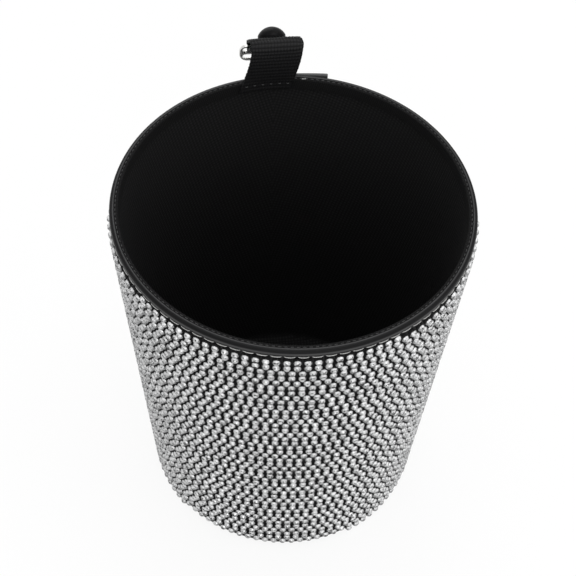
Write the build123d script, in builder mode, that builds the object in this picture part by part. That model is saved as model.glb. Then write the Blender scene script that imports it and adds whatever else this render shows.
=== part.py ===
from build123d import *
from math import atan, cos, degrees, radians, sqrt
import os

# Bin: a tapered cup, measured over the stones
height = 158.0
top_diameter = 140.2
base_diameter = 113.2

# Layers of the wall, from the outside in
stone_height = 2.0
backing_thickness = 0.5
shell_thickness = 1.0
lining_thickness = 0.4
glue_line = 0.1

# Rows of stones, drawn as one faceted ridge for each row
row_pitch = 3.5
row_facets = 40
skin_lift = 0.8

# Floor
base_cover_thickness = 1.5
base_board_thickness = 2.0
base_cover_chamfer = 0.5

# Tape bound over the rim, with a lapped end that stands off the curve
tape_thickness = 0.5
inner_flange = 5.0
outer_flange = 3.8
rim_round = 1.0
stone_margin = 1.45
lap_length = 22.0
lap_thickness = 1.2
lap_sink = 0.2
lap_radius = 150.0

# Hanging strap of flat webbing
strap_width = 20.0
strap_thickness = 1.4
strap_tail = 3.5
strap_stand = 15.8
strap_slope = 45.0
strap_seat_gap = 0.1
crest_radius = 2.2
tuck_length = 12.5

# Press stud that closes the strap's turned end
stud_diameter = 11.0
stud_dome = 4.4
stud_dome_edge = 1.0
stud_edge_round = 0.8
stud_edge_gap = 0.8
socket_diameter = 9.0
socket_gap = 0.3
socket_bore = 4.4
ball_diameter = 4.0
ball_height = 1.1
stud_flange = 8.4
stud_flange_thickness = 0.5
barrel_diameter = 2.6
barrel_clearance = 0.05

# Slider that hangs in the turned end
slider_bar = 1.4
slider_slot = 2.0
slider_side_gap = 1.0
slider_edge_round = 0.42
slider_running_gap = 0.3
slider_from_stud = 2.7

wall_slope = (top_diameter - base_diameter) / 2 / height
wall_angle = degrees(atan(wall_slope))


def wall_radius(inset, z):
    """Radius of the wall's cone at height z, a given depth in from the stones."""
    return base_diameter / 2 + wall_slope * z - inset


# Depths of the layers' faces below the tips of the stones
backing_inset = stone_height
backing_inner = backing_inset + backing_thickness
shell_inset = backing_inner + glue_line
shell_inner = shell_inset + shell_thickness
lining_inset = shell_inner + glue_line
lining_inner = lining_inset + lining_thickness
tape_inset = backing_inset - glue_line - tape_thickness
tape_inner = lining_inner + glue_line + tape_thickness

wall_top = height - tape_thickness - glue_line
board_bottom = base_cover_thickness + glue_line
board_top = board_bottom + base_board_thickness
lining_floor = board_top + glue_line

# Underside cover, on which the bin stands
with BuildPart() as base_cover:
    with BuildSketch():
        Circle(wall_radius(shell_inset, 0))
    extrude(amount=base_cover_thickness)
    chamfer(base_cover.edges().group_by(Axis.Z)[0], base_cover_chamfer)

# Stiff sleeve of the wall
with BuildPart() as wall_shell:
    with BuildSketch(Plane.XZ):
        with BuildLine():
            Polyline(
                (wall_radius(shell_inset, board_bottom), board_bottom),
                (wall_radius(shell_inset, wall_top), wall_top),
                (wall_radius(shell_inner, wall_top), wall_top),
                (wall_radius(shell_inner, board_bottom), board_bottom),
                close=True,
            )
        make_face()
    revolve(axis=Axis.Z)

# Stiff disc of the floor
with BuildPart() as base_board:
    with BuildSketch(Plane.XY.offset(board_bottom)):
        Circle(wall_radius(shell_inner + glue_line, board_bottom))
    extrude(amount=base_board_thickness)

# Lining cup: floor and wall in one
with BuildPart() as lining:
    with BuildSketch(Plane.XZ):
        with BuildLine():
            Polyline(
                (0, lining_floor),
                (wall_radius(lining_inset, lining_floor), lining_floor),
                (wall_radius(lining_inset, wall_top), wall_top),
                (wall_radius(lining_inner, wall_top), wall_top),
                (wall_radius(lining_inner, lining_floor + lining_thickness), lining_floor + lining_thickness),
                (0, lining_floor + lining_thickness),
                close=True,
            )
        make_face()
    revolve(axis=Axis.Z)

# Stone-covered sheet: a plain hem under the tape, then one faceted ridge for each row of stones
ridge_top = height - outer_flange - stone_margin
ridge_drop = row_pitch * cos(radians(wall_angle))
row_count = int((ridge_top - skin_lift) / ridge_drop)
with BuildPart() as crystal_skin:
    rings = [(backing_inset, wall_top), (backing_inset, ridge_top)]
    for row in range(row_count):
        crest = ridge_top - (row + 0.5) * ridge_drop
        rings.append((0, crest))
        rings.append((backing_inset, crest - ridge_drop / 2))
    rings.append((backing_inset, skin_lift))
    for inset, z in reversed(rings):
        with BuildSketch(Plane.XY.offset(z)):
            RegularPolygon(wall_radius(inset, z), row_facets)
    loft(ruled=True)
    for z in (skin_lift, wall_top):
        with BuildSketch(Plane.XY.offset(z)):
            Circle(wall_radius(backing_inner, z))
    loft(mode=Mode.SUBTRACT)

# Tape folded over the rim, and its lapped end at the back, flatter than the rim's curve
with BuildPart() as rim_binding:
    tape_under = height - tape_thickness
    outer_foot = height - outer_flange
    inner_foot = height - inner_flange
    with BuildSketch(Plane.XZ):
        with BuildLine():
            Polyline(
                (wall_radius(tape_inset, outer_foot), outer_foot),
                (wall_radius(tape_inset, height), height),
                (wall_radius(tape_inner, height), height),
                (wall_radius(tape_inner, inner_foot), inner_foot),
                (wall_radius(tape_inner - tape_thickness, inner_foot), inner_foot),
                (wall_radius(tape_inner - tape_thickness, tape_under), tape_under),
                (wall_radius(tape_inset + tape_thickness, tape_under), tape_under),
                (wall_radius(tape_inset + tape_thickness, outer_foot), outer_foot),
                close=True,
            )
        make_face()
    revolve(axis=Axis.Z)
    fillet(rim_binding.edges().group_by(Axis.Z)[-1], rim_round)
    lap_centre = (0, wall_radius(tape_inset, outer_foot) - lap_sink - lap_radius)
    lap_sweep = degrees(lap_length / lap_radius)
    with BuildSketch(Plane.XY.offset(outer_foot)):
        with BuildLine():
            lap_inside = CenterArc(lap_centre, lap_radius, 90, -lap_sweep)
            lap_outside = CenterArc(lap_centre, lap_radius + lap_thickness, 90, -lap_sweep)
            Line(lap_inside @ 0, lap_outside @ 0)
            Line(lap_inside @ 1, lap_outside @ 1)
        make_face()
    extrude(amount=outer_flange - rim_round / 2)

# Strap, drawn from the side: up inside the rim, over the crest, down the outer leg,
# round the slider's bar and back under the outer leg
seat_radius = wall_radius(tape_inner, height)
strap_face = sqrt(seat_radius**2 - (strap_width / 2) ** 2) - strap_seat_gap
strap_middle = strap_face - strap_thickness / 2 / cos(radians(wall_angle))
tail_start = (strap_middle - strap_tail * wall_slope, height - strap_tail)
crest_start = (strap_middle + strap_stand * wall_slope, height + strap_stand)
turn_gap = slider_bar + 2 * slider_running_gap
turn_radius = (turn_gap + strap_thickness) / 2
stud_distance = stud_diameter / 2 + stud_edge_gap
outer_leg = stud_distance + stud_diameter / 2 + slider_from_stud
with BuildPart() as hanging_strap:
    with BuildLine(Plane.YZ) as strap_path:
        stand = Line(tail_start, crest_start)
        crest_bend = JernArc(
            start=stand @ 1,
            tangent=stand % 1,
            radius=crest_radius + strap_thickness / 2,
            arc_size=wall_angle + strap_slope - 180,
        )
        leg = PolarLine(crest_bend @ 1, outer_leg, direction=crest_bend % 1)
        turn = JernArc(start=leg @ 1, tangent=leg % 1, radius=turn_radius, arc_size=-180)
        tuck = PolarLine(turn @ 1, tuck_length, direction=turn % 1)
    with BuildSketch(Plane(origin=stand @ 0, x_dir=(1, 0, 0), z_dir=stand % 0)):
        Rectangle(strap_width, strap_thickness)
    sweep(path=strap_path.line)
    # Axis of the press stud, square to the outer leg; the section plane holds that axis
    stud_axis = (leg % 0).rotate(Axis.X, 90)
    stud_origin = leg @ (stud_distance / outer_leg) + stud_axis * (strap_thickness / 2)
    stud_depth = 2 * strap_thickness + turn_gap
    with BuildSketch(Plane(origin=stud_origin, x_dir=(1, 0, 0), z_dir=stud_axis)):
        Circle(barrel_diameter / 2 + barrel_clearance)
    extrude(amount=-stud_depth, mode=Mode.SUBTRACT)

stud_section = Plane(origin=stud_origin, x_dir=(1, 0, 0), z_dir=Vector(1, 0, 0).cross(stud_axis))
stud_spin = Axis(stud_origin, stud_axis)
socket_top = -strap_thickness
tuck_top = socket_top - turn_gap
tuck_foot = tuck_top - strap_thickness
socket_foot = tuck_top + stud_flange_thickness + socket_gap
ball_tip = tuck_top + stud_flange_thickness + ball_height
barrel_foot = ball_tip + barrel_clearance
ball_bore = barrel_diameter / 2 + barrel_clearance

# Domed cap with its barrel through the outer leg
dome_rise = stud_dome - stud_dome_edge
dome_radius = ((stud_diameter / 2) ** 2 + dome_rise**2) / (2 * dome_rise)
with BuildPart() as stud_cap:
    with BuildSketch(stud_section):
        with BuildLine():
            Line((stud_diameter / 2, 0), (stud_diameter / 2, stud_dome_edge))
            RadiusArc((stud_diameter / 2, stud_dome_edge), (0, stud_dome), -dome_radius)
            Polyline(
                (0, stud_dome),
                (0, barrel_foot),
                (barrel_diameter / 2, barrel_foot),
                (barrel_diameter / 2, 0),
                (stud_diameter / 2, 0),
            )
        make_face()
    revolve(axis=stud_spin)
    rims = stud_cap.edges().filter_by(lambda edge: edge.is_closed)
    fillet(rims.sort_by(stud_spin)[-1], stud_edge_round)

# Socket ring that takes the ball
with BuildPart() as stud_socket:
    with BuildSketch(stud_section):
        with BuildLine():
            Polyline(
                (ball_bore, socket_top),
                (socket_diameter / 2, socket_top),
                (socket_diameter / 2, socket_foot),
                (socket_bore / 2, socket_foot),
                (socket_bore / 2, ball_tip + barrel_clearance),
                (ball_bore, ball_tip + barrel_clearance),
                close=True,
            )
        make_face()
    revolve(axis=stud_spin)

# Ball on its flange
with BuildPart() as stud_ball:
    with BuildSketch(stud_section):
        with BuildLine():
            Polyline(
                (ball_bore, tuck_top),
                (stud_flange / 2, tuck_top),
                (stud_flange / 2, tuck_top + stud_flange_thickness),
                (ball_diameter / 2, tuck_top + stud_flange_thickness),
                (ball_diameter / 2, ball_tip),
                (ball_bore, ball_tip),
                close=True,
            )
        make_face()
    revolve(axis=stud_spin)

# Post that holds the ball to the tucked end
with BuildPart() as stud_post:
    with BuildSketch(stud_section):
        with BuildLine():
            Polyline(
                (0, ball_tip - barrel_clearance),
                (barrel_diameter / 2, ball_tip - barrel_clearance),
                (barrel_diameter / 2, tuck_foot),
                (stud_flange / 2, tuck_foot),
                (stud_flange / 2, tuck_foot - stud_flange_thickness),
                (0, tuck_foot - stud_flange_thickness),
                close=True,
            )
        make_face()
    revolve(axis=stud_spin)

# Slider, hanging straight down with its top bar in the strap's turn
slider_height = 3 * slider_bar + 2 * slider_slot
slot_length = strap_width + 2 * slider_side_gap
with BuildPart() as strap_slider:
    pivot = turn.arc_center
    with BuildSketch(Plane(origin=pivot, x_dir=(1, 0, 0), z_dir=(0, -1, 0))):
        with Locations((0, (slider_bar - slider_height) / 2)):
            RectangleRounded(slot_length + 2 * slider_bar, slider_height, slider_bar + slider_slot)
            with GridLocations(0, slider_slot + slider_bar, 1, 2):
                SlotOverall(slot_length, slider_slot, mode=Mode.SUBTRACT)
    extrude(amount=slider_bar / 2, both=True)
    faces = strap_slider.faces().filter_by(Axis.Y)
    fillet(faces.edges(), slider_edge_round)

os.makedirs("parts", exist_ok=True)
base_cover.part.label = "base_cover"
export_step(base_cover.part, "parts/base_cover.step")
wall_shell.part.label = "wall_shell"
export_step(wall_shell.part, "parts/wall_shell.step")
base_board.part.label = "base_board"
export_step(base_board.part, "parts/base_board.step")
lining.part.label = "lining"
export_step(lining.part, "parts/lining.step")
crystal_skin.part.label = "crystal_skin"
export_step(crystal_skin.part, "parts/crystal_skin.step")
rim_binding.part.label = "rim_binding"
export_step(rim_binding.part, "parts/rim_binding.step")
hanging_strap.part.label = "hanging_strap"
export_step(hanging_strap.part, "parts/hanging_strap.step")
strap_slider.part.label = "strap_slider"
export_step(strap_slider.part, "parts/strap_slider.step")
stud_cap.part.label = "stud_cap"
export_step(stud_cap.part, "parts/stud_cap.step")
stud_socket.part.label = "stud_socket"
export_step(stud_socket.part, "parts/stud_socket.step")
stud_ball.part.label = "stud_ball"
export_step(stud_ball.part, "parts/stud_ball.step")
stud_post.part.label = "stud_post"
export_step(stud_post.part, "parts/stud_post.step")
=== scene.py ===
import random
from itertools import cycle
from math import atan, atan2, cos, exp, hypot, pi, radians, sin, sqrt, tau

import bmesh
import bpy
from mathutils import Matrix, Vector


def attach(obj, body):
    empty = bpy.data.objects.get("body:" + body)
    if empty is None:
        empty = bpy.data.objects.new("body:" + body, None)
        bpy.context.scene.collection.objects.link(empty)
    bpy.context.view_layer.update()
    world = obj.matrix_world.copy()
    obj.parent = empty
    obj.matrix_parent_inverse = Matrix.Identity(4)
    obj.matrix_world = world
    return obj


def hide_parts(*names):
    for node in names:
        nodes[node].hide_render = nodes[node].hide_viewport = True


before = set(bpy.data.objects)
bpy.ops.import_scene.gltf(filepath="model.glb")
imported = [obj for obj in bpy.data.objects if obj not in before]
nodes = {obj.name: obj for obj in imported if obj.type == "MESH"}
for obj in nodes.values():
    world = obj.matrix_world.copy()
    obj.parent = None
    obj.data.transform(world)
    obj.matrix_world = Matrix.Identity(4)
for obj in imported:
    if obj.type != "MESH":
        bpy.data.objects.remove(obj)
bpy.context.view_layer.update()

# Underside cover: a disc of card drawn over with black leathercloth, on which the bin stands.
# The cloth is glued down and its edge is rounded over the card.
MM = 0.001
bin_height = 158.0 * MM
rim_radius = 70.1 * MM
foot_radius = 56.6 * MM
wall_slope = (rim_radius - foot_radius) / bin_height
cover_inset = 2.6 * MM
cover_thickness = 1.5 * MM
cover_round = 0.6 * MM
cover_sides = 128
cover_grain = 0.9 * MM
cover_shine = 0.25
leather_black = (0.006, 0.006, 0.0064, 1)
leather_worn = (0.011, 0.011, 0.0114, 1)


def wall_radius(inset, z):
    """Radius of the wall's cone at height z, a given depth in from the tips of the stones."""
    return foot_radius + wall_slope * z - inset


class Socket:
    """A socket in a material's node tree. Sums and products of sockets add Math nodes."""

    def __init__(self, tree, output=None):
        self.tree = tree
        self.output = output

    def make(self, kind, settings=None, inputs=None, output=0):
        """Adds any node: its settings, then the values or links of its sockets."""
        made = self.tree.nodes.new(kind)
        for name, value in (settings or {}).items():
            setattr(made, name, value)
        for name, value in (inputs or {}).items():
            self.feed(made.inputs[name], value)
        return Socket(self.tree, made.outputs[output])

    def feed(self, target, value):
        if isinstance(value, Socket):
            self.tree.links.new(value.output, target)
        else:
            target.default_value = value

    def math(self, operation, *values):
        numbered = {index: value for index, value in enumerate(values)}
        return self.make("ShaderNodeMath", {"operation": operation}, numbered)

    def mix(self, first, second):
        """A colour between two colours, by this socket's value."""
        inputs = {0: self, 6: first, 7: second}
        return self.make("ShaderNodeMix", {"data_type": "RGBA"}, inputs, 2)

    def ramp(self, low, high):
        """This socket's value, 0 below low and 1 above high, eased in between."""
        inputs = {"Value": self, "From Min": low, "From Max": high}
        return self.make("ShaderNodeMapRange", {"interpolation_type": "SMOOTHSTEP"}, inputs)

    def bump(self, strength, distance):
        inputs = {"Height": self, "Strength": strength, "Distance": distance}
        return self.make("ShaderNodeBump", None, inputs)

    def object_place(self):
        """Where a point of the piece lies in the bin's own frame."""
        return self.make("ShaderNodeTexCoord", output="Object")

    def axis(self, name):
        """One coordinate of this place."""
        return self.make("ShaderNodeSeparateXYZ", None, {0: self}, name)

    def noise(self, scale, detail=2.0):
        """Soft mottling over this place, finer with a larger scale."""
        inputs = {"Vector": self, "Scale": scale, "Detail": detail}
        return self.make("ShaderNodeTexNoise", None, inputs, "Fac")

    def pebbles(self, scale):
        """Small cells over this place, each rising from its middle outwards."""
        return self.make("ShaderNodeTexVoronoi", None, {"Vector": self, "Scale": scale}, "Distance")

    def __add__(self, other):
        return self.math("ADD", self, other)

    def __sub__(self, other):
        return self.math("SUBTRACT", self, other)

    def __rsub__(self, other):
        return self.math("SUBTRACT", other, self)

    def __mul__(self, other):
        return self.math("MULTIPLY", self, other)

    def __truediv__(self, other):
        return self.math("DIVIDE", self, other)

    __radd__ = __add__
    __rmul__ = __mul__


def new_material(name):
    """A material, an empty socket to build its nodes from, and a way to set its shader."""
    material = bpy.data.materials.new(name)
    material.use_nodes = True
    tree = material.node_tree
    shader = tree.nodes["Principled BSDF"]
    start = Socket(tree)

    def finish(**inputs):
        for title, value in inputs.items():
            start.feed(shader.inputs[title.replace("_", " ")], value)

    return material, start, finish


def leathercloth(name, grain, shine):
    """Black coated cloth with a pebbled grain, a little paler in random scuffed patches."""
    material, start, finish = new_material(name)
    place = start.object_place()
    pebbles = place.pebbles(1 / grain)
    drift = place.noise(90.0, 3.0)
    pores = place.noise(2600.0)
    wear_and_painted_shade = drift.ramp(0.42, 0.68)
    finish(
        Base_Color=wear_and_painted_shade.mix(leather_black, leather_worn),
        Roughness=0.34 + 0.12 * drift + 0.06 * pebbles,
        Normal=(pebbles + 0.3 * pores).bump(0.22, 0.12 * MM),
        Specular_IOR_Level=shine,
    )
    return material


def round_off(shape, geom, offset, segments=4, affect="EDGES"):
    """Rounds off some edges of a shape, or some corners of an outline."""
    bmesh.ops.bevel(
        shape, geom=geom, offset=offset, segments=segments, profile=0.5, affect=affect, material=-1
    )


def mesh_of(name, shape):
    """Writes a bmesh out as a mesh."""
    mesh = bpy.data.meshes.new(name)
    shape.to_mesh(mesh)
    shape.free()
    return mesh


def settle(name, shape, material, sharp=0.7):
    """Turns a bmesh into a piece of the bin, smooth but for edges sharper than an angle."""
    mesh = mesh_of(name, shape)
    mesh.shade_smooth()
    mesh.set_sharp_from_angle(angle=sharp)
    mesh.materials.append(material)
    piece = bpy.data.objects.new(name, mesh)
    bpy.context.scene.collection.objects.link(piece)
    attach(piece, "bin")
    return piece


underside = bmesh.new()
cover_radius = wall_radius(cover_inset, 0)
disc = bmesh.ops.create_cone(
    underside,
    cap_ends=True,
    segments=cover_sides,
    radius1=cover_radius,
    radius2=cover_radius,
    depth=cover_thickness,
)
bmesh.ops.translate(underside, verts=disc["verts"], vec=(0, 0, cover_thickness / 2))
lower_rim = [edge for edge in underside.edges if all(vert.co.z < cover_round for vert in edge.verts)]
round_off(underside, lower_rim, cover_round)
base_finish = leathercloth("base_leathercloth", cover_grain, cover_shine)
base_leather = settle("base_leather", underside, base_finish)
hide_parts("base_cover")

# Stiffeners: the wall's sleeve and the floor's disc, of pressed board.
# They are cut flat, rolled and glued, and the lining and the stone sheet hide them.
board_pale = (0.23, 0.205, 0.17, 1)
board_dark = (0.13, 0.115, 0.095, 1)


def dress(node, material):
    """Gives a solid of the frame its finish."""
    nodes[node].data.materials.clear()
    nodes[node].data.materials.append(material)


board_material, start, finish = new_material("pressed_board")
board_place = start.object_place()
fibres = board_place.noise(900.0, 4.0)
flecks = board_place.noise(240.0)
finish(
    Base_Color=flecks.ramp(0.35, 0.65).mix(board_dark, board_pale),
    Roughness=0.8 + 0.15 * fibres,
    Normal=fibres.bump(0.3, 0.1 * MM),
)
dress("wall_shell", board_material)
dress("base_board", board_material)

# Lining: a cup of black plain-weave cloth, its wall cut flat as one curved panel.
# It is glued to the sleeve and the floor, with its wall joined at the back under the strap.
lining_outer = 3.7 * MM
lining_inner = 4.1 * MM
lining_floor = 4.1 * MM
lining_under = 3.7 * MM
lining_top = bin_height - 0.6 * MM
lining_steps = 180
corner_round = 2.5 * MM
lining_thread = 1.4 * MM
lining_relief = 0.22 * MM
cloth_black = (0.0055, 0.0055, 0.0057, 1)
cloth_lit = (0.018, 0.018, 0.0185, 1)
wall_angle = atan(wall_slope)
wall_sine = sin(wall_angle)
level_cosine = 0.7
weld_distance = 0.001 * MM


def outline(shape, points, closed=True):
    """An outline, given as radius and height, ready to be spun."""
    verts = [shape.verts.new((radius, 0, z)) for radius, z in points]
    for first, second in zip(verts, verts[1:]):
        shape.edges.new((first, second))
    if closed:
        shape.edges.new((verts[-1], verts[0]))
    return verts


def spin_round(shape, steps):
    """Spins the outline once round the bin's own axis and closes it."""
    geometry = shape.verts[:] + shape.edges[:]
    bmesh.ops.spin(
        shape, geom=geometry, cent=(0, 0, 0), axis=(0, 0, 1), angle=tau, steps=steps, use_merge=True
    )
    bmesh.ops.remove_doubles(shape, verts=shape.verts[:], dist=weld_distance)
    bmesh.ops.recalc_face_normals(shape, faces=shape.faces[:])


def flat_place(point, middle, face_turn):
    """Where a point of the wall lies in its flat panel, in metres, level at the middle's bearing."""
    turn = atan2(point.x, -point.y) - middle
    turn = face_turn + (turn - face_turn + pi) % tau - pi
    slant = hypot(point.x, point.y) / wall_sine
    return slant * sin(turn * wall_sine), -slant * cos(turn * wall_sine)


def lay_flat(shape, middle):
    """Gives the wall the coordinates of its flat panel, and level faces those of the floor."""
    layer = shape.loops.layers.uv.new("flat")
    for face in shape.faces:
        centre = face.calc_center_median()
        face_turn = (atan2(centre.x, -centre.y) - middle + pi) % tau - pi
        level = abs(face.normal.z) > level_cosine
        for loop in face.loops:
            point = loop.vert.co
            loop[layer].uv = (point.x, point.y) if level else flat_place(point, middle, face_turn)


def arches(steps):
    """A row of round arches, one to each whole step of a value."""
    return steps.math("SINE", pi * steps.math("FRACT", steps))


def woven(name, thread, dark, lit, depth):
    """Plain-weave cloth: one small bump where each thread passes over, one set a little higher."""
    material, start, finish = new_material(name)
    flat = start.make("ShaderNodeUVMap", {"uv_map": "flat"})
    across = flat.axis("X") / thread
    along = flat.axis("Y") / thread
    crossing = start.math("FLOOR", across) + start.math("FLOOR", along)
    turn_about = start.math("PINGPONG", crossing, 1.0)
    relief = arches(across) * arches(along) * (0.85 + 0.15 * turn_about)
    fuzz = flat.noise(5200.0)
    drift = flat.noise(60.0, 3.0)
    finish(
        Base_Color=(relief * (0.45 + 0.5 * drift + 0.25 * fuzz)).mix(dark, lit),
        Roughness=0.92 - 0.2 * relief,
        Normal=(relief + 0.25 * fuzz).bump(0.7, depth),
        Specular_IOR_Level=0.12,
    )
    return material


lining_cup = bmesh.new()
lining_profile = [
    (0, lining_under),
    (wall_radius(lining_outer, lining_under), lining_under),
    (wall_radius(lining_outer, lining_top), lining_top),
    (wall_radius(lining_inner, lining_top), lining_top),
    (wall_radius(lining_inner, lining_floor), lining_floor),
    (0, lining_floor),
]
floor_corner = outline(lining_cup, lining_profile, closed=False)[4]
round_off(lining_cup, [floor_corner], corner_round, segments=5, affect="VERTICES")
spin_round(lining_cup, lining_steps)
lay_flat(lining_cup, 0)
lining_cloth = woven("lining_weave", lining_thread, cloth_black, cloth_lit, lining_relief)
lining_piece = settle("lining_cup", lining_cup, lining_cloth)
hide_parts("lining")

# Lining seam: the panel's free edge, turned under and lapped over the other at the back.
# It shows as one narrow upright step in the cloth below the strap.
seam_width = 5.0 * MM
seam_rise = 0.35 * MM
seam_sink = 0.1 * MM
seam_foot = 7.0 * MM
seam_top = bin_height - 5.0 * MM
seam_columns = 6
seam_rows = 40
seam_strip = bmesh.new()
bmesh.ops.create_grid(seam_strip, x_segments=seam_columns, y_segments=seam_rows, size=0.5)
for vert in seam_strip.verts:
    z = seam_foot + (vert.co.y + 0.5) * (seam_top - seam_foot)
    radius = wall_radius(lining_inner, z) + seam_sink
    turn = vert.co.x * seam_width / radius
    vert.co = (radius * sin(turn), radius * cos(turn), z)
bmesh.ops.solidify(seam_strip, geom=seam_strip.faces[:], thickness=seam_rise)
bmesh.ops.recalc_face_normals(seam_strip, faces=seam_strip.faces[:])
lay_flat(seam_strip, pi)
settle("lining_seam", seam_strip, lining_cloth)

# Backing of the stone sheet: thin black coated cloth that the stones are set on.
# It is wrapped round the sleeve, glued, and its two edges meet at the back beside the strap.
stone_height = 2.0 * MM
backing_inner = 2.5 * MM
backing_foot = 0.8 * MM
backing_steps = 200
backing_grain = 0.45 * MM
backing_shine = 0.06
backing_shape = bmesh.new()
backing_profile = [
    (wall_radius(stone_height, backing_foot), backing_foot),
    (wall_radius(stone_height, lining_top), lining_top),
    (wall_radius(backing_inner, lining_top), lining_top),
    (wall_radius(backing_inner, backing_foot), backing_foot),
]
outline(backing_shape, backing_profile)
spin_round(backing_shape, backing_steps)
backing_cloth = leathercloth("backing_cloth", backing_grain, backing_shine)
backing = settle("stone_backing", backing_shape, backing_cloth)
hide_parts("crystal_skin")

# Stones: foil-backed cut stones of about 3 mm in black cups, set in straight rows on the flat sheet.
# Wrapped on the cone the rows run level in front and slope to the seam, where they meet mirrored.
# Five rows of every eight step over by half a column.
stone_radius = 1.54 * MM
stone_facets = 8
stone_sink = 0.1 * MM
cup_radius = 1.48 * MM
cup_height = 0.9 * MM
crown_radius = 1.5 * MM
crown_foot = 1.0 * MM
star_radius = 1.16 * MM
star_height = 1.66 * MM
table_radius = 0.75 * MM
level_slack = 0.01 * MM
# The next five values paint reflections into the stones' colour: painted shade on facets that face
# sideways, a darker painted table, and painted darkening by chance on each facet.
side_shade = 0.9
crown_spread = 0.3
star_spread = 1.0
table_shade = 0.35
table_spread = 1.0
column_pitch = 3.67 * MM
row_pitch = 3.5 * MM
first_row = 7.0 * MM
first_column = 0.35 * MM
row_count = 52
column_reach = 62
row_group = 8
stepped_rows = 5
step_start = 3
sheet_turn = radians(-17)
tape_foot = 3.8 * MM
sheet_foot = 158.0 * MM
seam_zone = 7.0 * MM
seam_reach = 1.3 * MM
stone_lean = radians(3)
stone_spin = radians(14)
stone_sharp = 0.55
stone_dark = (0.028, 0.028, 0.0285, 1)
stone_light = (0.93, 0.935, 0.94, 1)
wall_cosine = cos(wall_angle)
cone_point = (rim_radius - stone_height) / wall_sine


def facet_order(facet):
    """Puts facets in order of height, then of bearing, so that chance treats them alike on each run."""
    centre = facet.calc_center_median()
    bearing = (atan2(centre.y, centre.x) + pi / stone_facets / 2) % tau
    return round(centre.z / level_slack) * tau + bearing


stone_shape = bmesh.new()
stone_profile = [
    (cup_radius, -stone_sink),
    (stone_radius, cup_height),
    (crown_radius, crown_foot),
    (star_radius, star_height),
    (table_radius, stone_height),
]
outline(stone_shape, stone_profile, closed=False)
spin_round(stone_shape, stone_facets)
star_ring = [vert for vert in stone_shape.verts if abs(vert.co.z - star_height) < level_slack]
half_facet = Matrix.Rotation(pi / stone_facets, 3, "Z")
bmesh.ops.rotate(stone_shape, verts=star_ring, cent=(0, 0, 0), matrix=half_facet)
bmesh.ops.holes_fill(stone_shape, edges=stone_shape.edges[:], sides=stone_facets)
crown_faces = [face for face in stone_shape.faces if face.calc_center_median().z > crown_foot]
twisted = [face for face in crown_faces if len(face.verts) == 4]
bmesh.ops.triangulate(stone_shape, faces=twisted)
bmesh.ops.recalc_face_normals(stone_shape, faces=stone_shape.faces[:])
stone_shape.faces.sort(key=facet_order)
one_stone = mesh_of("one_stone", stone_shape)

# Painted reflections, in the order of the facets: each one's brightest grey, with painted shade where
# it faces sideways, and how far chance may darken it.
painted_facet_tones = []
for facet in one_stone.polygons:
    height = facet.center.z
    brightest = 1 - side_shade * facet.normal.x**2
    if height < crown_foot:
        painted_facet_tones.append((0.0, 0.0))
    elif height < star_height:
        painted_facet_tones.append((brightest, crown_spread))
    elif len(facet.vertices) == 3:
        painted_facet_tones.append((brightest, star_spread))
    else:
        painted_facet_tones.append((1 - table_shade, table_spread))

# The stone's colour on each facet is painted reflection, read from the facet's tone.
stone_material, start, finish = new_material("foiled_stone")
tone = start.make("ShaderNodeAttribute", {"attribute_name": "tone"}, None, "Fac")
polish = tone.ramp(0.0, 0.3)
finish(
    Base_Color=tone.mix(stone_dark, stone_light),
    Metallic=0.35 * polish,
    Roughness=0.5 - 0.35 * polish,
    Coat_Weight=0.06 * tone,
    Specular_IOR_Level=0.1,
)


def stone_seat(slant, turn):
    """Where a stone lies on the wall, by its distance from the cone's point and its bearing."""
    radius = slant * wall_sine
    z = bin_height - (cone_point - slant) * wall_cosine
    return Vector((radius * sin(turn), -radius * cos(turn), z))


def add_copy(whole, mesh, place):
    """Adds a copy of a mesh to a larger shape, moved to its place."""
    copy = mesh.copy()
    copy.transform(place)
    whole.from_mesh(copy)
    bpy.data.meshes.remove(copy)


chance = random.Random(11)
sheet_halves = {"stones_upper": bmesh.new(), "stones_lower": bmesh.new()}
seam_seats = []
for row in range(1, row_count + 1):
    down = first_row + (row - 1) * row_pitch
    steps = (stepped_rows * row + step_start) // row_group
    shift = 0.5 * (steps % 2)
    for column in range(-column_reach, column_reach + 1):
        across = first_column + (column + shift) * column_pitch
        slant = hypot(across, cone_point - down)
        turn = atan2(across, cone_point - down) / wall_sine
        from_rim = cone_point - slant
        past_seam = (abs(turn) - pi) * slant * wall_sine
        on_sheet = tape_foot + stone_radius < from_rim < sheet_foot - stone_radius
        if not on_sheet or past_seam > seam_reach:
            continue
        bearing = turn + sheet_turn
        seat = stone_seat(slant, bearing)
        if past_seam > -seam_zone:
            if any((seat - other).length < 2 * stone_radius for other in seam_seats):
                continue
            seam_seats.append(seat)
        spin = Matrix.Rotation(chance.uniform(-stone_spin, stone_spin), 4, "Z")
        lean = Matrix.Rotation(chance.uniform(-stone_lean, stone_lean), 4, "X")
        half = "stones_upper" if from_rim < sheet_foot / 2 else "stones_lower"
        outward = Matrix.Rotation(bearing, 4, "Z") @ Matrix.Rotation(pi / 2 + wall_angle, 4, "X")
        add_copy(sheet_halves[half], one_stone, Matrix.Translation(seat) @ outward @ lean @ spin)
# Each facet's painted reflection is its brightest grey, darkened by chance.
for name, sheet in sheet_halves.items():
    tones = sheet.faces.layers.float.new("tone")
    for face, (brightest, spread) in zip(sheet.faces, cycle(painted_facet_tones)):
        face[tones] = brightest * (1 - spread * chance.random())
    settle(name, sheet, stone_material, sharp=stone_sharp)

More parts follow.
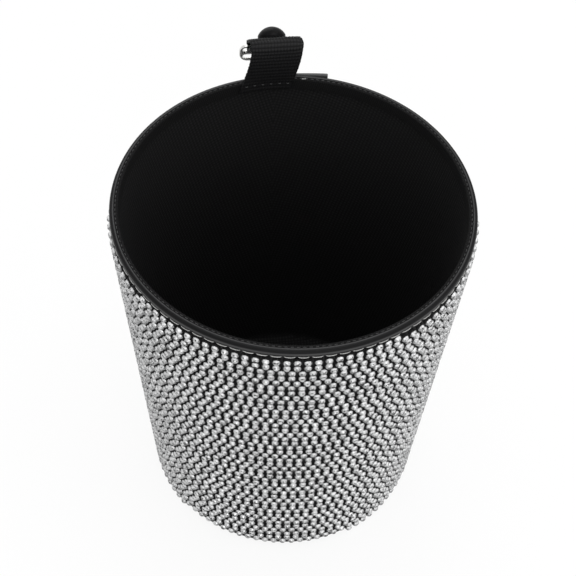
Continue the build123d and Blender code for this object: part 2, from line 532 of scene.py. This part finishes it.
# Rim facing: a strip of the lining cloth turned up over the edge of the lining and the sleeve.
# It shows as a narrow level band inside the tape, and its lower edge lies on the lining.
facing_face = 4.7 * MM
facing_back = 4.2 * MM
facing_foot = bin_height - 5.0 * MM
facing_round = 0.3 * MM
facing_tuck = 0.05 * MM
facing_steps = 220
band_top = bin_height - 0.35 * MM
fold_foot = 66.95 * MM
facing_thread = 0.8 * MM
facing_relief = 0.15 * MM
facing_black = (0.003, 0.003, 0.0032, 1)
facing_lit = (0.009, 0.009, 0.0093, 1)
facing_shape = bmesh.new()
facing_profile = [
    (wall_radius(facing_face, facing_foot), facing_foot),
    (wall_radius(facing_face, band_top), band_top),
    (fold_foot + facing_tuck, band_top),
    (fold_foot + facing_tuck, lining_top),
    (wall_radius(facing_back, lining_top), lining_top),
    (wall_radius(facing_back, facing_foot), facing_foot),
]
band_corner = outline(facing_shape, facing_profile)[1]
round_off(facing_shape, [band_corner], facing_round, affect="VERTICES")
spin_round(facing_shape, facing_steps)
lay_flat(facing_shape, 0)
facing_cloth = woven("facing_weave", facing_thread, facing_black, facing_lit, facing_relief)
rim_facing = settle("rim_facing", facing_shape, facing_cloth)
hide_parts("rim_binding")

# Rim tape: black leathercloth folded over the rim, with a raised fold inside and a soft roll outside.
# It is sewn through near its outer edge, which puckers into a small scallop at each stitch.
tape_face = 1.4 * MM
tape_back = 1.9 * MM
tape_under = bin_height - 0.55 * MM
fold_side = bin_height - 0.15 * MM
fold_crest = 67.25 * MM
shoulder_radius = 68.3 * MM
shoulder_top = bin_height - 0.35 * MM
roll_radius = 68.68 * MM
roll_top = bin_height - 1.3 * MM
roll_foot = bin_height - 2.2 * MM
outer_foot = bin_height - tape_foot
outer_stitches = 88
scallop_steps = 6
scallop_rise = 0.38 * MM
scallop_reach = 1.2 * MM
tape_sharp = 0.9
tape_black = (0.0045, 0.0045, 0.0048, 1)
# Grey of the painted highlights along the tape's fold crest and outer roll.
tape_highlight_grey = (0.062, 0.062, 0.063, 1)


def scallop(share):
    """How far the tape's edge rises at a share of the way from one stitch's middle to the next."""
    from_middle = 2 * ((share + 0.5) % 1 - 0.5)
    return scallop_rise * from_middle * from_middle


def tape_cloth(name, pale_mask, pale_colour):
    """The tape's finely grained black cloth, paler where the given mask says."""
    material, start, finish = new_material(name)
    place = start.object_place()
    grain = place.pebbles(2200.0)
    drift = place.noise(110.0, 3.0)
    finish(
        Base_Color=pale_mask(place, drift).mix(tape_black, pale_colour),
        Roughness=0.36 + 0.12 * drift + 0.05 * grain,
        Normal=grain.bump(0.2, 0.1 * MM),
        Specular_IOR_Level=0.1,
    )
    return material


def tape_painted_highlight(place, drift):
    """Painted highlights along the crest of the inner fold and along the outer roll."""
    x, y, z = (place.axis(name) for name in "XYZ")
    radius = place.math("SQRT", x * x + y * y)
    fold_highlight = 1 - place.math("ABSOLUTE", radius - fold_crest).ramp(0.0, 0.45 * MM)
    roll_highlight = 1 - place.math("ABSOLUTE", z - (roll_top + roll_foot) / 2).ramp(0.1 * MM, 0.8 * MM)
    on_roll = radius.ramp(roll_radius - 0.5 * MM, roll_radius - 0.2 * MM)
    return place.math("MAXIMUM", fold_highlight, roll_highlight * on_roll) * (0.55 + 0.5 * drift)


tape_shape = bmesh.new()
tape_profile = [
    (fold_foot, tape_under),
    (fold_foot, fold_side),
    (fold_crest, bin_height),
    (shoulder_radius, shoulder_top),
    (roll_radius, roll_top),
    (roll_radius, roll_foot),
    (wall_radius(tape_face, outer_foot), outer_foot),
    (wall_radius(tape_back, outer_foot), outer_foot),
    (wall_radius(tape_back, tape_under), tape_under),
]
tape_rounds = [0, 0, 0.2 * MM, 0.3 * MM, 0.3 * MM, 0.4 * MM, 0.2 * MM, 0, 0]
for corner, rounding in zip(outline(tape_shape, tape_profile), tape_rounds):
    if rounding:
        round_off(tape_shape, [corner], rounding, affect="VERTICES")
spin_round(tape_shape, outer_stitches * scallop_steps)
for vert in tape_shape.verts:
    reach = (outer_foot + scallop_reach - vert.co.z) / scallop_reach
    if reach > 0:
        share = atan2(vert.co.x, -vert.co.y) / tau * outer_stitches
        vert.co.z += min(reach, 1) * scallop(share)
# The tape is painted lighter along its fold crest and outer roll: painted highlights.
tape_material = tape_cloth("tape_leathercloth", tape_painted_highlight, tape_highlight_grey)
rim_tape = settle("rim_tape", tape_shape, tape_material, sharp=tape_sharp)
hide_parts("rim_binding")

# Lapped end of the tape: a tab at the back, too stiff to follow the rim's curve all the way.
# It is the tape doubled and glued, cut square and rounded along its edges, the upper ones coloured
# paler.
lap_length = 22.0 * MM
lap_thickness = 1.2 * MM
lap_radius = 150.0 * MM
lap_sink = 0.2 * MM
lap_face = wall_radius(tape_face, outer_foot) - lap_sink
lap_top = bin_height - 0.5 * MM
lap_round = 0.4 * MM
lap_edge_reach = 1.1 * lap_round
lap_cuts = 11
lap_edge_grey = (0.11, 0.11, 0.112, 1)


def lap_pale_edges(place, drift):
    """Paler along the tab's upper edges, as the mesh gives it."""
    pale_mask = place.make("ShaderNodeAttribute", {"attribute_name": "pale_mask"}, None, "Fac")
    return pale_mask * (0.7 + 0.5 * drift)


lap_shape = bmesh.new()
lap_block = bmesh.ops.create_cube(lap_shape, size=1)["verts"]
lap_middle = (lap_length / 2, lap_thickness / 2, (lap_top + outer_foot) / 2)
bmesh.ops.scale(lap_shape, verts=lap_block, vec=(lap_length, lap_thickness, lap_top - outer_foot))
bmesh.ops.translate(lap_shape, verts=lap_block, vec=lap_middle)
round_off(lap_shape, lap_shape.edges[:], lap_round, segments=3)
long_edges = [edge for edge in lap_shape.edges if edge.calc_length() > lap_length / 2]
bmesh.ops.subdivide_edges(lap_shape, edges=long_edges, cuts=lap_cuts)
pale_mask_layer = lap_shape.verts.layers.float.new("pale_mask")
for vert in lap_shape.verts:
    near_top = vert.co.z > lap_top - lap_edge_reach
    near_end = vert.co.x > lap_length - lap_edge_reach
    near_rim = vert.co.y < lap_edge_reach
    vert[pale_mask_layer] = float(near_top and (near_end or near_rim))
    lap_turn = vert.co.x / lap_radius
    bend_radius = lap_radius + vert.co.y
    vert.co.x = bend_radius * sin(lap_turn)
    vert.co.y = lap_face - lap_radius + bend_radius * cos(lap_turn)
lap_material = tape_cloth("lap_leathercloth", lap_pale_edges, lap_edge_grey)
settle("tape_lap", lap_shape, lap_material)

# Rim stitches: a pale waxed thread along the tape's outer edge and a dark one along the inside.
# Each stitch lies on the cloth and dives into it at both ends.
outer_length = 4.3 * MM
outer_thread = 0.19 * MM
outer_lift = 0.2 * MM
outer_proud = 0.12 * MM
inner_stitches = 190
inner_length = 1.45 * MM
inner_thread = 0.17 * MM
inner_line = 66.45 * MM
inner_proud = 0.07 * MM
stitch_dive = 0.35 * MM
thread_sides = 6
thread_cuts = 5
thread_pale = (0.55, 0.55, 0.54, 1)
thread_dark = (0.014, 0.014, 0.0145, 1)


def thread_finish(name, colour):
    """Twisted thread: fine plies, a little darker in the grooves."""
    material, start, finish = new_material(name)
    plies = start.object_place().noise(2400.0)
    shade = tuple(0.55 * part for part in colour[:3]) + (1,)
    finish(
        Base_Color=plies.ramp(0.3, 0.6).mix(shade, colour),
        Roughness=0.4 + 0.2 * plies,
        Normal=plies.bump(0.4, 0.05 * MM),
    )
    return material


def thread_bar(length, radius):
    """One straight stitch along X, with rings enough to bend it."""
    shape = bmesh.new()
    bmesh.ops.create_cone(
        shape, cap_ends=True, segments=thread_sides, radius1=radius, radius2=radius, depth=length
    )
    sides = [edge for edge in shape.edges if abs(edge.verts[0].co.z - edge.verts[1].co.z) > length / 2]
    bmesh.ops.subdivide_edges(shape, edges=sides, cuts=thread_cuts)
    lie_down = Matrix.Rotation(pi / 2, 3, "Y")
    bmesh.ops.rotate(shape, verts=shape.verts[:], cent=(0, 0, 0), matrix=lie_down)
    return shape


def dive(share):
    """How deep a stitch sinks at a share of its half length."""
    return stitch_dive * abs(share) ** 6


def sew_round(name, count, length, thread, bend, material):
    """Repeats one stitch round the rim. bend places a point, given its share of the half length."""
    bar = thread_bar(length, thread)
    for vert in bar.verts:
        vert.co = bend(vert.co.copy(), 2 * vert.co.x / length)
    stitch = mesh_of(name + "_one", bar)
    seam = bmesh.new()
    for index in range(count):
        add_copy(seam, stitch, Matrix.Rotation(tau * index / count, 4, "Z"))
    settle(name, seam, material)


def outer_stitch(point, share):
    z = outer_foot + scallop(point.x / (tau * rim_radius / outer_stitches)) + outer_lift
    radius = wall_radius(tape_face, z) + outer_proud + point.y - dive(share)
    turn = point.x / radius
    return Vector((radius * sin(turn), -radius * cos(turn), z + point.z))


def inner_stitch(point, share):
    z = band_top + inner_proud + point.z - dive(share)
    radius = inner_line + point.y
    turn = point.x / radius
    return Vector((radius * sin(turn), -radius * cos(turn), z))


pale_thread = thread_finish("pale_thread", thread_pale)
dark_thread = thread_finish("dark_thread", thread_dark)
sew_round("outer_stitches", outer_stitches, outer_length, outer_thread, outer_stitch, pale_thread)
sew_round("inner_stitches", inner_stitches, inner_length, inner_thread, inner_stitch, dark_thread)

# Hanging strap: 20 mm black webbing, woven in cross ribs and sewn inside the back of the rim.
# It folds over a crest, and its end turns round the slider's bar and tucks back under.
strap_width = 20.0 * MM
strap_thickness = 1.4 * MM
strap_tail = 3.5 * MM
strap_stand = 15.8 * MM
strap_slope = radians(45)
strap_seat_gap = 0.1 * MM
crest_radius = 2.2 * MM
outer_leg = 14.5 * MM
turn_radius = 1.7 * MM
tuck_length = 12.5 * MM
rib_pitch = 1.6 * MM
rib_depth = 0.32 * MM
yarn_pitch = 1.2 * MM
foot_shift = -3.9 * MM
foot_reach = 8.0 * MM
crest_shift = 1.2 * MM
crest_flare = 0.05
end_shift = 0.7 * MM
left_droop = 0.9 * MM
right_droop = 2.0 * MM
droop_reach = 4.5 * MM
strap_columns = 100
rib_samples = 8
strap_sharp = 1.2
webbing_black = (0.0035, 0.0035, 0.0038, 1)
webbing_lit = (0.023, 0.023, 0.0235, 1)

seat_radius = wall_radius(facing_face, bin_height)
strap_face = sqrt(seat_radius**2 - (strap_width / 2) ** 2) - strap_seat_gap
strap_middle = strap_face - strap_thickness / 2 / wall_cosine
strap_start = (strap_middle - strap_tail * wall_slope, bin_height - strap_tail)
crest_turn = pi - strap_slope - wall_angle
strap_runs = [
    ((strap_tail + strap_stand) / wall_cosine, 0),
    ((crest_radius + strap_thickness / 2) * crest_turn, crest_turn),
    (outer_leg, 0),
    (turn_radius * pi, pi),
    (tuck_length, 0),
]
strap_length = sum(length for length, bend in strap_runs)
strap_crest = strap_runs[0][0] + strap_runs[1][0] / 2


def strap_at(along):
    """Point of the strap's middle, as y and z, and its heading, a distance along it."""
    y, z = strap_start
    heading = pi / 2 - wall_angle
    for length, bend in strap_runs:
        step = min(along, length)
        turned = bend * step / length
        chord = step if not bend else 2 * length / bend * sin(turned / 2)
        y += chord * cos(heading - turned / 2)
        z += chord * sin(heading - turned / 2)
        heading -= turned
        along -= step
    return y, z, heading


def rib_relief(along, across):
    """Height of the webbing's ribs over their grooves, staggered from rib to rib."""
    rib = along / rib_pitch
    ridge = sin(pi * rib) ** 2
    yarn = sin(tau * across / yarn_pitch + pi * (int(rib) % 2))
    return rib_depth * (ridge * (0.6 + 0.4 * yarn) - 0.5)


def strap_lie(along):
    """Sideways shift of the strap, which leans across up to its crest and part of the way back."""
    if along < strap_crest:
        return foot_shift + (crest_shift - foot_shift) * sin(pi / 2 * along / strap_crest)
    return end_shift + (crest_shift - end_shift) * max(1 - (along - strap_crest) / outer_leg, 0)


def crest_share(along):
    """1 at the crest of the strap, fading to 0 on either side."""
    from_crest = (along - strap_crest) / droop_reach
    return exp(-from_crest * from_crest)


def edge_droop(along, across):
    """How far the webbing's edges sag where it folds over the crest."""
    droop = left_droop if across < 0 else right_droop
    return droop * crest_share(along) * (2 * across / strap_width) ** 6


def foot_bow(along, x):
    """How far back the strap's foot bends to lie along the round facing that it is sewn to."""
    flat_share = min(max((along - strap_tail) / foot_reach, 0), 1)
    return (1 - flat_share) ** 2 * (sqrt(seat_radius**2 - x * x) - strap_face - strap_seat_gap)


strap_shape = bmesh.new()
strap_rows = round(strap_length / rib_pitch * rib_samples)
bmesh.ops.create_grid(strap_shape, x_segments=strap_columns, y_segments=strap_rows, size=0.5)
strap_flat = strap_shape.loops.layers.uv.new("flat")
for face in strap_shape.faces:
    for loop in face.loops:
        loop[strap_flat].uv = (loop.vert.co.x * strap_width, (loop.vert.co.y + 0.5) * strap_length)
web_thickness = strap_thickness - rib_depth
for vert in strap_shape.verts:
    across = vert.co.x * strap_width
    along = (vert.co.y + 0.5) * strap_length
    y, z, heading = strap_at(along)
    lift = web_thickness / 2 + rib_relief(along, across) - edge_droop(along, across)
    x = across * (1 + crest_flare * crest_share(along)) + strap_lie(along)
    vert.co = (x, y + foot_bow(along, x) - lift * sin(heading), z + lift * cos(heading))
bmesh.ops.recalc_face_normals(strap_shape, faces=strap_shape.faces[:])
bmesh.ops.solidify(strap_shape, geom=strap_shape.faces[:], thickness=web_thickness)
bmesh.ops.recalc_face_normals(strap_shape, faces=strap_shape.faces[:])

webbing, start, finish = new_material("ribbed_webbing")
strap_place = start.make("ShaderNodeUVMap", {"uv_map": "flat"})
strap_along = strap_place.axis("Y")
filaments = strap_place.noise(4200.0)
ribs = arches(strap_along / rib_pitch)
yarns = arches(strap_place.axis("X") / yarn_pitch)
# Painted shade: the webbing is painted darker from halfway up its stand down to its foot. Painted
# light: the crowns of the ribs and yarns are painted towards the lit grey.
wear_and_painted_shade = 0.22 + 0.78 * strap_along.ramp(strap_crest / 2, strap_crest)
weave = wear_and_painted_shade * ribs * (0.4 + 0.6 * yarns) * (0.6 + 0.6 * filaments)
finish(
    Base_Color=weave.mix(webbing_black, webbing_lit),
    Roughness=0.62 + 0.2 * filaments,
    Normal=filaments.bump(0.45, 0.08 * MM),
    Specular_IOR_Level=0.1,
)
strap_piece = settle("strap_webbing", strap_shape, webbing, sharp=strap_sharp)
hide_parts("hanging_strap")

# Strap stitches: one row of dark grey thread across the strap's foot, just under the rim's level.
# A thicker, paler tack beside the strap closes the row.
strap_stitches = 6
strap_stitch_pitch = 3.3 * MM
strap_stitch_length = 1.0 * MM
strap_stitch_row = 3.0 * MM
strap_stitch_proud = 0.1 * MM
tack_radius = 66.2 * MM
tack_turn = radians(10.5)
tack_length = 1.7 * MM
tack_thread = 0.28 * MM
tack_lift = 0.2 * MM
thread_grey = (0.03, 0.03, 0.031, 1)
tack_grey = (0.22, 0.22, 0.215, 1)
strap_bar = thread_bar(strap_stitch_length, outer_thread)
for vert in strap_bar.verts:
    vert.co.y -= strap_stitch_proud - dive(2 * vert.co.x / strap_stitch_length)
strap_stitch = mesh_of("strap_stitch", strap_bar)
strap_seam = bmesh.new()
y, z, heading = strap_at(strap_stitch_row)
for index in range(strap_stitches):
    x = strap_lie(strap_stitch_row) + (index - strap_stitches / 2 + 0.5) * strap_stitch_pitch
    face_y = y + foot_bow(strap_stitch_row, x) - strap_thickness / 2
    add_copy(strap_seam, strap_stitch, Matrix.Translation((x, face_y, z)))
settle("strap_stitches", strap_seam, thread_finish("grey_thread", thread_grey))
tack = thread_bar(tack_length, tack_thread)
tack_place = (tack_radius * sin(tack_turn), tack_radius * cos(tack_turn), band_top + tack_lift)
bmesh.ops.translate(tack, verts=tack.verts[:], vec=tack_place)
settle("strap_tack", tack, thread_finish("tack_thread", tack_grey))

# Press stud: a domed cap of black enamelled brass over the webbing, and the plain metal
# socket, ball and post that hold the turned end, all riveted through the strap.
enamel_black = (0.004, 0.004, 0.0043, 1)
enamel_dust = (0.009, 0.009, 0.0093, 1)
stud_bright = (0.42, 0.41, 0.39, 1)
stud_dull = (0.24, 0.235, 0.225, 1)
enamel, start, finish = new_material("cap_enamel")
enamel_drift = start.object_place().noise(420.0, 3.0)
finish(
    Base_Color=enamel_drift.ramp(0.45, 0.75).mix(enamel_black, enamel_dust),
    Roughness=0.26 + 0.14 * enamel_drift,
    Specular_IOR_Level=0.04,
)
stud_metal, start, finish = new_material("stud_plating")
stud_drift = start.object_place().noise(700.0, 3.0)
finish(
    Base_Color=stud_drift.ramp(0.35, 0.65).mix(stud_dull, stud_bright),
    Metallic=1.0,
    Roughness=0.25 + 0.2 * stud_drift,
)
dress("stud_cap", enamel)
for stud_part in ("stud_socket", "stud_ball", "stud_post"):
    dress(stud_part, stud_metal)

# Slider: a small die-cast loop with two slots, polished and plated with nickel.
# It hangs freely by its top bar in the turned end of the strap.
nickel_bright = (0.78, 0.775, 0.76, 1)
nickel_smudged = (0.6, 0.595, 0.58, 1)
nickel, start, finish = new_material("nickel_plate")
smudges = start.object_place().noise(260.0, 4.0)
finish(
    Base_Color=smudges.ramp(0.4, 0.7).mix(nickel_bright, nickel_smudged),
    Metallic=1.0,
    Roughness=0.1 + 0.16 * smudges,
)
dress("strap_slider", nickel)

# Studio: a plain white floor and sky, with large soft lamps above, in front, beside and behind.
# The floor glows white to the camera and in reflections, and still takes the bin's shadow.
floor_side = 6.0
floor_white = (0.93, 0.93, 0.93, 1)
floor_glow = 0.9
floor_fade = (0.5, 1.5)
floor_drop = 0.2 * MM
pure_white = (1, 1, 1, 1)
sky_fill = 0.55
lamp_side = 1.0
lamp_aim = Vector((0, 0, 0.1))
lamps = {
    "overhead": ((0.1, 0.1, 1.5), 10.0),
    "front": ((-0.2, -1.5, 1.0), 4.0),
    "low_front": ((0.1, -1.3, 0.2), 4.0),
    "side": ((1.3, -0.5, 0.9), 3.0),
    "back": ((-0.2, 1.6, 0.7), 5.0),
}


def seen_rays(start):
    """1 for rays that show the background itself, to the camera or in a reflection."""
    outputs = start.make("ShaderNodeLightPath").output.node.outputs
    camera_ray = Socket(start.tree, outputs["Is Camera Ray"])
    glossy_ray = Socket(start.tree, outputs["Is Glossy Ray"])
    clear_ray = Socket(start.tree, outputs["Is Transmission Ray"])
    return start.math("MAXIMUM", camera_ray, start.math("MAXIMUM", glossy_ray, clear_ray))


floor_shape = bmesh.new()
bmesh.ops.create_grid(floor_shape, x_segments=1, y_segments=1, size=floor_side / 2)
bmesh.ops.translate(floor_shape, verts=floor_shape.verts[:], vec=(0, 0, -floor_drop))
floor_mesh = mesh_of("floor", floor_shape)
floor = bpy.data.objects.new("floor", floor_mesh)
bpy.context.scene.collection.objects.link(floor)
floor_material = bpy.data.materials.new("white_floor")
floor_material.use_nodes = True
floor_tree = floor_material.node_tree
floor_tree.nodes.clear()
start = Socket(floor_tree)
matt = start.make("ShaderNodeBsdfDiffuse", None, {"Color": floor_white})
glow = start.make("ShaderNodeEmission", None, {"Color": pure_white, "Strength": 1.0})
floor_place = start.object_place()
floor_reach = start.make("ShaderNodeVectorMath", {"operation": "LENGTH"}, {0: floor_place}, "Value")
whiteness = floor_glow + (1 - floor_glow) * floor_reach.ramp(*floor_fade)
surface = start.make("ShaderNodeMixShader", None, {0: whiteness * seen_rays(start), 1: matt, 2: glow})
floor_out = floor_tree.nodes.new("ShaderNodeOutputMaterial")
floor_tree.links.new(surface.output, floor_out.inputs["Surface"])
floor_mesh.materials.append(floor_material)

world = bpy.data.worlds.new("white_sky")
world.use_nodes = True
bpy.context.scene.world = world
start = Socket(world.node_tree)
sky = world.node_tree.nodes["Background"]
sky.inputs["Color"].default_value = pure_white
start.feed(sky.inputs["Strength"], sky_fill + (1 - sky_fill) * seen_rays(start))

for name, (place, power) in lamps.items():
    lamp = bpy.data.lights.new(name, "AREA")
    lamp.size = lamp_side
    lamp.energy = power
    holder = bpy.data.objects.new(name, lamp)
    holder.location = place
    holder.rotation_mode = "QUATERNION"
    holder.rotation_quaternion = (lamp_aim - Vector(place)).to_track_quat("-Z", "Y")
    bpy.context.scene.collection.objects.link(holder)

# Camera: the photograph's own view, high in front, turned a little to the strap's right
# and rolled by under three degrees. The focal length is in pixels of the square picture.
picture_side = 576
focal_pixels = 1586.9
camera_place = (-62.3 * MM, -386.8 * MM, 601.2 * MM)
camera_pitch = radians(51.6)
camera_bearing = radians(9.04)
camera_roll = radians(2.69)
level_ahead = Vector((sin(camera_bearing), cos(camera_bearing), 0))
level_right = Vector((cos(camera_bearing), -sin(camera_bearing), 0))
ahead = cos(camera_pitch) * level_ahead - Vector((0, 0, sin(camera_pitch)))
level_up = level_right.cross(ahead)
picture_right = cos(camera_roll) * level_right + sin(camera_roll) * level_up
picture_up = cos(camera_roll) * level_up - sin(camera_roll) * level_right
camera_turn = Matrix((picture_right, picture_up, -ahead)).transposed().to_4x4()
camera = bpy.data.objects.new("camera", bpy.data.cameras.new("camera"))
camera.matrix_world = Matrix.Translation(camera_place) @ camera_turn
camera.data.lens = camera.data.sensor_width * focal_pixels / picture_side
camera.data.clip_start = 0.01
bpy.context.scene.collection.objects.link(camera)
bpy.context.scene.camera = camera
bpy.context.scene.view_settings.view_transform = "Standard"
